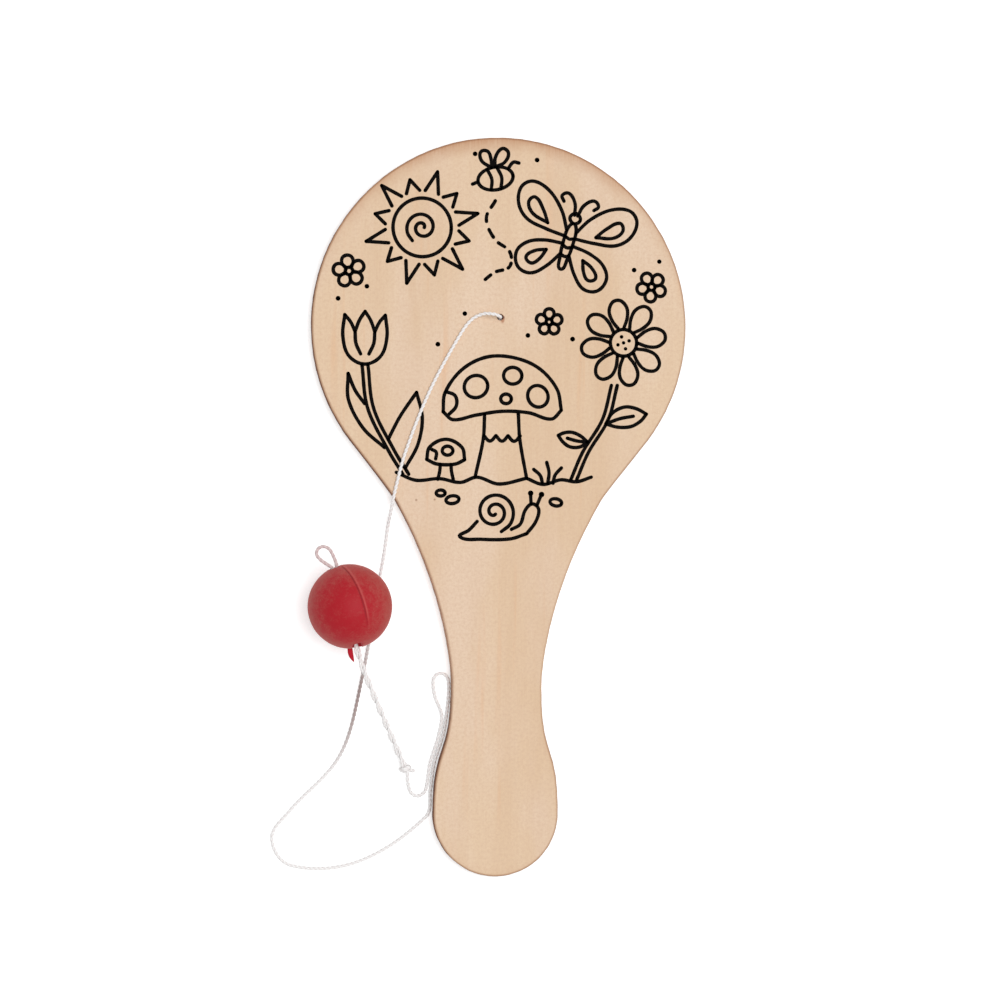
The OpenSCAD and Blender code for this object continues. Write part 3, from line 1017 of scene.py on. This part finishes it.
butterfly = {"at": (23, 29), "turn": -16, "size": 0.95}
wing = [
    [
        (1.7, 3.4), (5.4, 9.6), (11.5, 15), (18, 16.6), (21.6, 13.4), (20.8, 7.4), (16.4, 3.2),
        (9, 1.8), (1.8, 1.3),
    ],
    [
        (1.8, -1.4), (8.4, -2.2), (14, -4.6), (16.8, -9), (14.8, -14), (9.8, -14.8), (5.2, -10.8),
        (1.5, -5),
    ],
    [(9, 4), (11.8, 8), (15.8, 11.4), (17.6, 9), (15, 5.6), (9, 4)],
    [(6.8, -5.2), (10.6, -6.8), (13, -9.8), (10.6, -11.4), (8.2, -9), (6.8, -5.2)],
    [(0.6, 9.4), (1.6, 13.4), (4.6, 16.2), (6.8, 14.8), (5.6, 13)],
]
for flip in (-1, 1):
    draw_all(wing, flip=flip, **butterfly)
trunk = [(0, 6.4), (1.5, 4.4), (1.8, 0), (1.4, -6), (0, -10.4), (-1.4, -6), (-1.8, 0), (-1.5, 4.4)]
draw(trunk, closed=True, **butterfly)
for y in (-5.2, -2, 1.2):
    draw([(-1.5, y), (0, y - 0.5), (1.5, y)], **butterfly)
draw([(1.9, 8.2), (0, 10.1), (-1.9, 8.2), (0, 6.4)], closed=True, **butterfly)

bee = {"at": (-2, 49.5), "turn": 12}
oval(12, 7.6, **bee)
for x in (-2.2, 1.2):
    draw([(x, 3.5), (x + 0.9, 0), (x, -3.5)], **bee)
draw([(-0.6, 3.8), (-3.4, 6.6), (-3.2, 9.6), (-0.8, 9.4), (-0.2, 6.4), (-0.6, 3.8)], **bee)
draw([(0.6, 3.8), (1.4, 7), (4.2, 9.4), (6, 7.6), (4.2, 4.8), (0.6, 3.8)], **bee)
draw([(4.8, 2.4), (7, 4.2), (8.8, 3.6)], **bee)
draw([(-6, 0), (-8, -0.4)], **bee)
flight = smooth_route(
    [Vector((*p, 0)) for p in ((-2, 42), (-5, 36), (-2, 29), (3, 25), (3, 20), (-2, 18), (-7, 14))], 8
)
for step in range(0, len(flight) - 3, 6):
    draw(flight[step:step + 4])

daisy_at = (42, -5)
petal = [
    (-0.9, 4.8), (-2.6, 8), (-3.1, 11.2), (-1.8, 13.8), (0, 14.5), (1.8, 13.8), (3.1, 11.2),
    (2.6, 8), (0.9, 4.8),
]
for step in range(8):
    draw(petal, daisy_at, turn=45 * step + 10)
oval(9, 9, daisy_at)
for x, y in ((0, 0), (1.9, 0.7), (-0.7, 2), (-1.9, -0.7), (0.7, -2)):
    dot(daisy_at[0] + x, daisy_at[1] + y, 1)
for across in (-1, 1):
    draw([(39, -19.4), (36, -31), (29.4, -42), (25.4, -51.4)], (across, 0))
leaf((36.2, -32.4), 14, 0.84)
leaf((30, -38.6), 168, 0.6)

tulip_at = (-45.5, -5)
draw([(-6.8, 8), (-7.4, 1), (-5.4, -5.6), (0, -8.4), (5.4, -5.6), (7.4, 1), (6.8, 8)], tulip_at)
tulip_folds = [
    [(6.8, 8), (4.8, 5.6), (3.3, 2.4)], [(3.3, 2.4), (1.9, 6.2), (0, 9.2)],
    [(3.3, 2.4), (3, -1.4), (1.4, -5)],
]
for flip in (-1, 1):
    draw_all(tulip_folds, at=tulip_at, flip=flip)
    draw([(-45.4, -13.6), (-43.4, -28), (-36.4, -42), (-31.4, -50)], (flip, 0))
draw([(-38.6, -41.2), (-45.8, -34.8), (-50.8, -25.4), (-51, -16.6)])
draw([(-51, -16.6), (-48.6, -22.2), (-45.4, -26.6)])
draw([(-31.6, -48), (-27.4, -40), (-26, -31), (-28, -22.6)])
draw([(-28, -22.6), (-33.4, -30.6), (-37.4, -38.4)])

cap = [
    (-19, -29), (-18.4, -22.6), (-13, -15), (-5, -10.6), (4, -10.4), (13, -13.8), (19.4, -20.8),
    (21, -28),
]
draw(cap)
draw([(-19, -29), (-15.6, -31.6), (-8, -30), (1, -28.6), (10, -29), (17.6, -31), (21, -28)])
oval(8, 7.4, (-8, -20.4), turn=20)
oval(6.2, 5.6, (4.4, -16.6))
oval(6.8, 7.4, (13, -23.4), turn=30)
oval(3.6, 3.2, (2.2, -24.4))
draw([(-18.2, -22.2), (-15, -23.6), (-14.6, -27), (-17, -29.8)])
draw([(-5, -29.6), (-5.4, -38), (-8, -50.6)])
draw([(6.4, -29.2), (7, -38), (9.4, -51)])
for x in (-5.2, -1.1, 3):
    draw([(x, -36.8), (x + 2.05, -38.6), (x + 4.1, -36.8)])
toadstool = {"at": (-18, -45)}
draw([(-6.4, 0), (-5.4, 4.2), (0, 6.8), (5.4, 4.2), (6.4, 0)], **toadstool)
draw([(-6.4, 0), (-3, -1.5), (3, -1.5), (6.4, 0)], **toadstool)
for flip in (-1, 1):
    draw([(1.8, -1.6), (2, -4), (2.6, -6.6)], flip=flip, **toadstool)
oval(3.6, 3, (-17.4, -42))
draw([(-22.8, -41.6), (-21.2, -42.6), (-21.4, -44.8)])

draw([(-34.6, -49.4), (-28, -52), (-20, -51.4), (-13, -52.6), (-7.4, -50.8), (0, -53), (9.4, -51)])
draw([(9.4, -51), (15, -53), (21, -51.4), (26.4, -52), (31.4, -50.4)])
grass = [
    [(-1.8, 0), (-2.6, 2.6), (-4.8, 4.6)], [(0, 0), (0.4, 3.6), (-0.4, 7)],
    [(1.8, 0), (2.5, 2.8), (4.6, 5.2)],
]
draw_all(grass, at=(16.6, -52.6))

snail = {"at": (0, -64)}
spiral(7, -0.28, 23, (-1.4, -62.4), -70)
draw([(-7.2, -1.6), (-10, -4.6), (-13, -6.8), (-6, -7.6), (4, -7.4), (9.6, -5.6)], **snail)
head = [(9.6, -5.6), (12.6, -1.6), (13.6, 2.6), (11.4, 4.4), (9, 2.2), (7.4, -2.4), (4.4, -4.2)]
draw(head, **snail)
draw([(13, 4), (14.4, 7.4)], **snail)
draw([(11, 4.4), (10.8, 7.8)], **snail)
dot(14.5, -56.4)
dot(10.8, -56)
oval(4.4, 2.6, (-15.6, -58.4), turn=8)
oval(3, 2, (-19.6, -56.2))
oval(4, 2.4, (19.4, -59), turn=-10)

blossom((-51, 17.6), 10, 0.95)
blossom((51.4, 14), 30, 0.9)
blossom((16.6, 1.6), 0, 0.8)
for x, y in (
    (-54.6, 8.4), (-45, 12.6), (45.4, 19.6), (54, 22.6), (-9, 57.6), (12, 56), (24.6, -4), (9.4, -3),
    (-12, 4), (-21, -6.4),
):
    dot(x, y, 1.3)


def ink_strokes_tree():
    """Flat strokes of ink with round ends, along splines that lie on a face."""
    tree = new_tree(
        "Ink strokes",
        {
            "Ink Width": ink_width, "Ink Thickness": ink_thickness, "Face Height": face_z,
            "Step": ink_step, "Wobble": ink_wobble, "Seed": ink_seed, "Material": None,
        },
    )
    given = add(tree, "NodeGroupInput")
    steps = {"Length": given["Step"]}
    line = given["Source"].into("GeometryNodeResampleCurve", steps, mode="LENGTH")
    inputs = {"W": given["Seed"], "Scale": wobble_scale, "Detail": 2.0}
    uneven = add(tree, "ShaderNodeTexNoise", inputs, noise_dimensions="4D")
    swell = (uneven - 0.5) * (given["Wobble"] * 2.0)
    breadth = add(tree, "GeometryNodeInputRadius") * (swell + 1.0)
    half_width = given["Ink Width"] / 2.0
    size = {"Resolution": 6, "Radius": half_width}
    section = add(tree, "GeometryNodeCurvePrimitiveCircle", size)
    solid = {"Profile Curve": section, "Scale": breadth, "Fill Caps": True}
    stroke = line.into("GeometryNodeCurveToMesh", solid)
    size = {"Segments": 14, "Rings": 6, "Radius": half_width}
    ends = {
        "Selection": add(tree, "GeometryNodeCurveEndpointSelection"),
        "Instance": add(tree, "GeometryNodeMeshUVSphere", size),
        "Scale": breadth,
    }
    both = stroke.into("GeometryNodeJoinGeometry")
    feed(both.socket.node, {0: line.into("GeometryNodeInstanceOnPoints", ends)})
    whole = both.into("GeometryNodeRealizeInstances")
    place = add(tree, "GeometryNodeInputPosition").into("ShaderNodeSeparateXYZ")
    half_film = given["Ink Thickness"] / 2.0
    film = {"Min": given["Face Height"] - half_film, "Max": given["Face Height"] + half_film}
    height = place["Z"].into("ShaderNodeClamp", film)
    flat_place = place["X"].into("ShaderNodeCombineXYZ", {"Y": place["Y"], "Z": height})
    flat = whole.into("GeometryNodeSetPosition", {"Position": flat_place})
    put_out(flat.into("GeometryNodeSetShadeSmooth", {"Shade Smooth": False}), given["Material"])
    return tree


# The ink is a little browner where the wood's fibres have drunk it.
black_ink, tree, shader = new_material("black_ink", 0.8, 0.05)
grain = {
    "Light Wood": paint(11, 8, 7), "Dark Wood": paint(3, 2, 2), "Band Width": 9 * mm,
    "Band Share": 0.5, "Fibre Share": 2.0, "Pore Share": -1.2,
}
wood = place_on(tree).into("ShaderNodeGroup", grain, node_tree=wood_grain)
feed(shader, {"Base Color": wood})
ink_lines = line_object(ink_strokes)
printed_picture = grow("printed_picture", ink_lines, ink_strokes_tree(), {"Material": black_ink})
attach(printed_picture, "paddle")

# The table is plain white, and the light is a large soft lamp above the paddle's right
# side with an even glow all round it.
table_size = 6
table_tone = (0.86, 0.86, 0.86, 1)
table_lift = 0.44
room_glow = 0.52
lamp_strength = 1.6
lamp_spread = math.radians(38)
lamp_from = Vector((0.3, 0.1, 1.3))
white = (1, 1, 1, 1)

corners = [(x * table_size, y * table_size, 0) for x, y in ((-1, -1), (1, -1), (1, 1), (-1, 1))]
table_mesh = bpy.data.meshes.new("table")
table_mesh.from_pydata(corners, [], [(0, 1, 2, 3)])
table = new_object("table", table_mesh)
table_white, tree, shader = new_material("table_white", 0.9, 0.0, {"Base Color": table_tone})
lit = Wire(shader.outputs["BSDF"])
lift = add(tree, "ShaderNodeEmission", {"Color": white, "Strength": table_lift})
lifted = lit.into("ShaderNodeAddShader", {1: lift})
seen = add(tree, "ShaderNodeLightPath")["Is Camera Ray"]
shown = seen.into("ShaderNodeMixShader", {1: lit, 2: lifted})
feed(tree.nodes["Material Output"], {"Surface": shown})
table_mesh.materials.append(table_white)

world = bpy.data.worlds.new("studio")
bpy.context.scene.world = world
world.use_nodes = True
tree = world.node_tree
room = tree.nodes["Background"]
feed(room, {"Color": white, "Strength": room_glow})
backdrop = add(tree, "ShaderNodeBackground", {"Color": white, "Strength": 1.0})
rays = add(tree, "ShaderNodeLightPath")
mirrored = work_out("MAXIMUM", rays["Is Glossy Ray"], rays["Is Transmission Ray"])
direct = work_out("MAXIMUM", rays["Is Camera Ray"], mirrored)
surround = direct.into("ShaderNodeMixShader", {1: Wire(room.outputs[0]), 2: backdrop})
feed(tree.nodes["World Output"], {"Surface": surround})

lamp_data = bpy.data.lights.new("key", "SUN")
lamp_data.energy = lamp_strength
lamp_data.angle = lamp_spread
lamp = new_object("key", lamp_data)
lamp.rotation_euler = lamp_from.to_track_quat("Z", "Y").to_euler()

bpy.context.scene.view_settings.view_transform = "Standard"
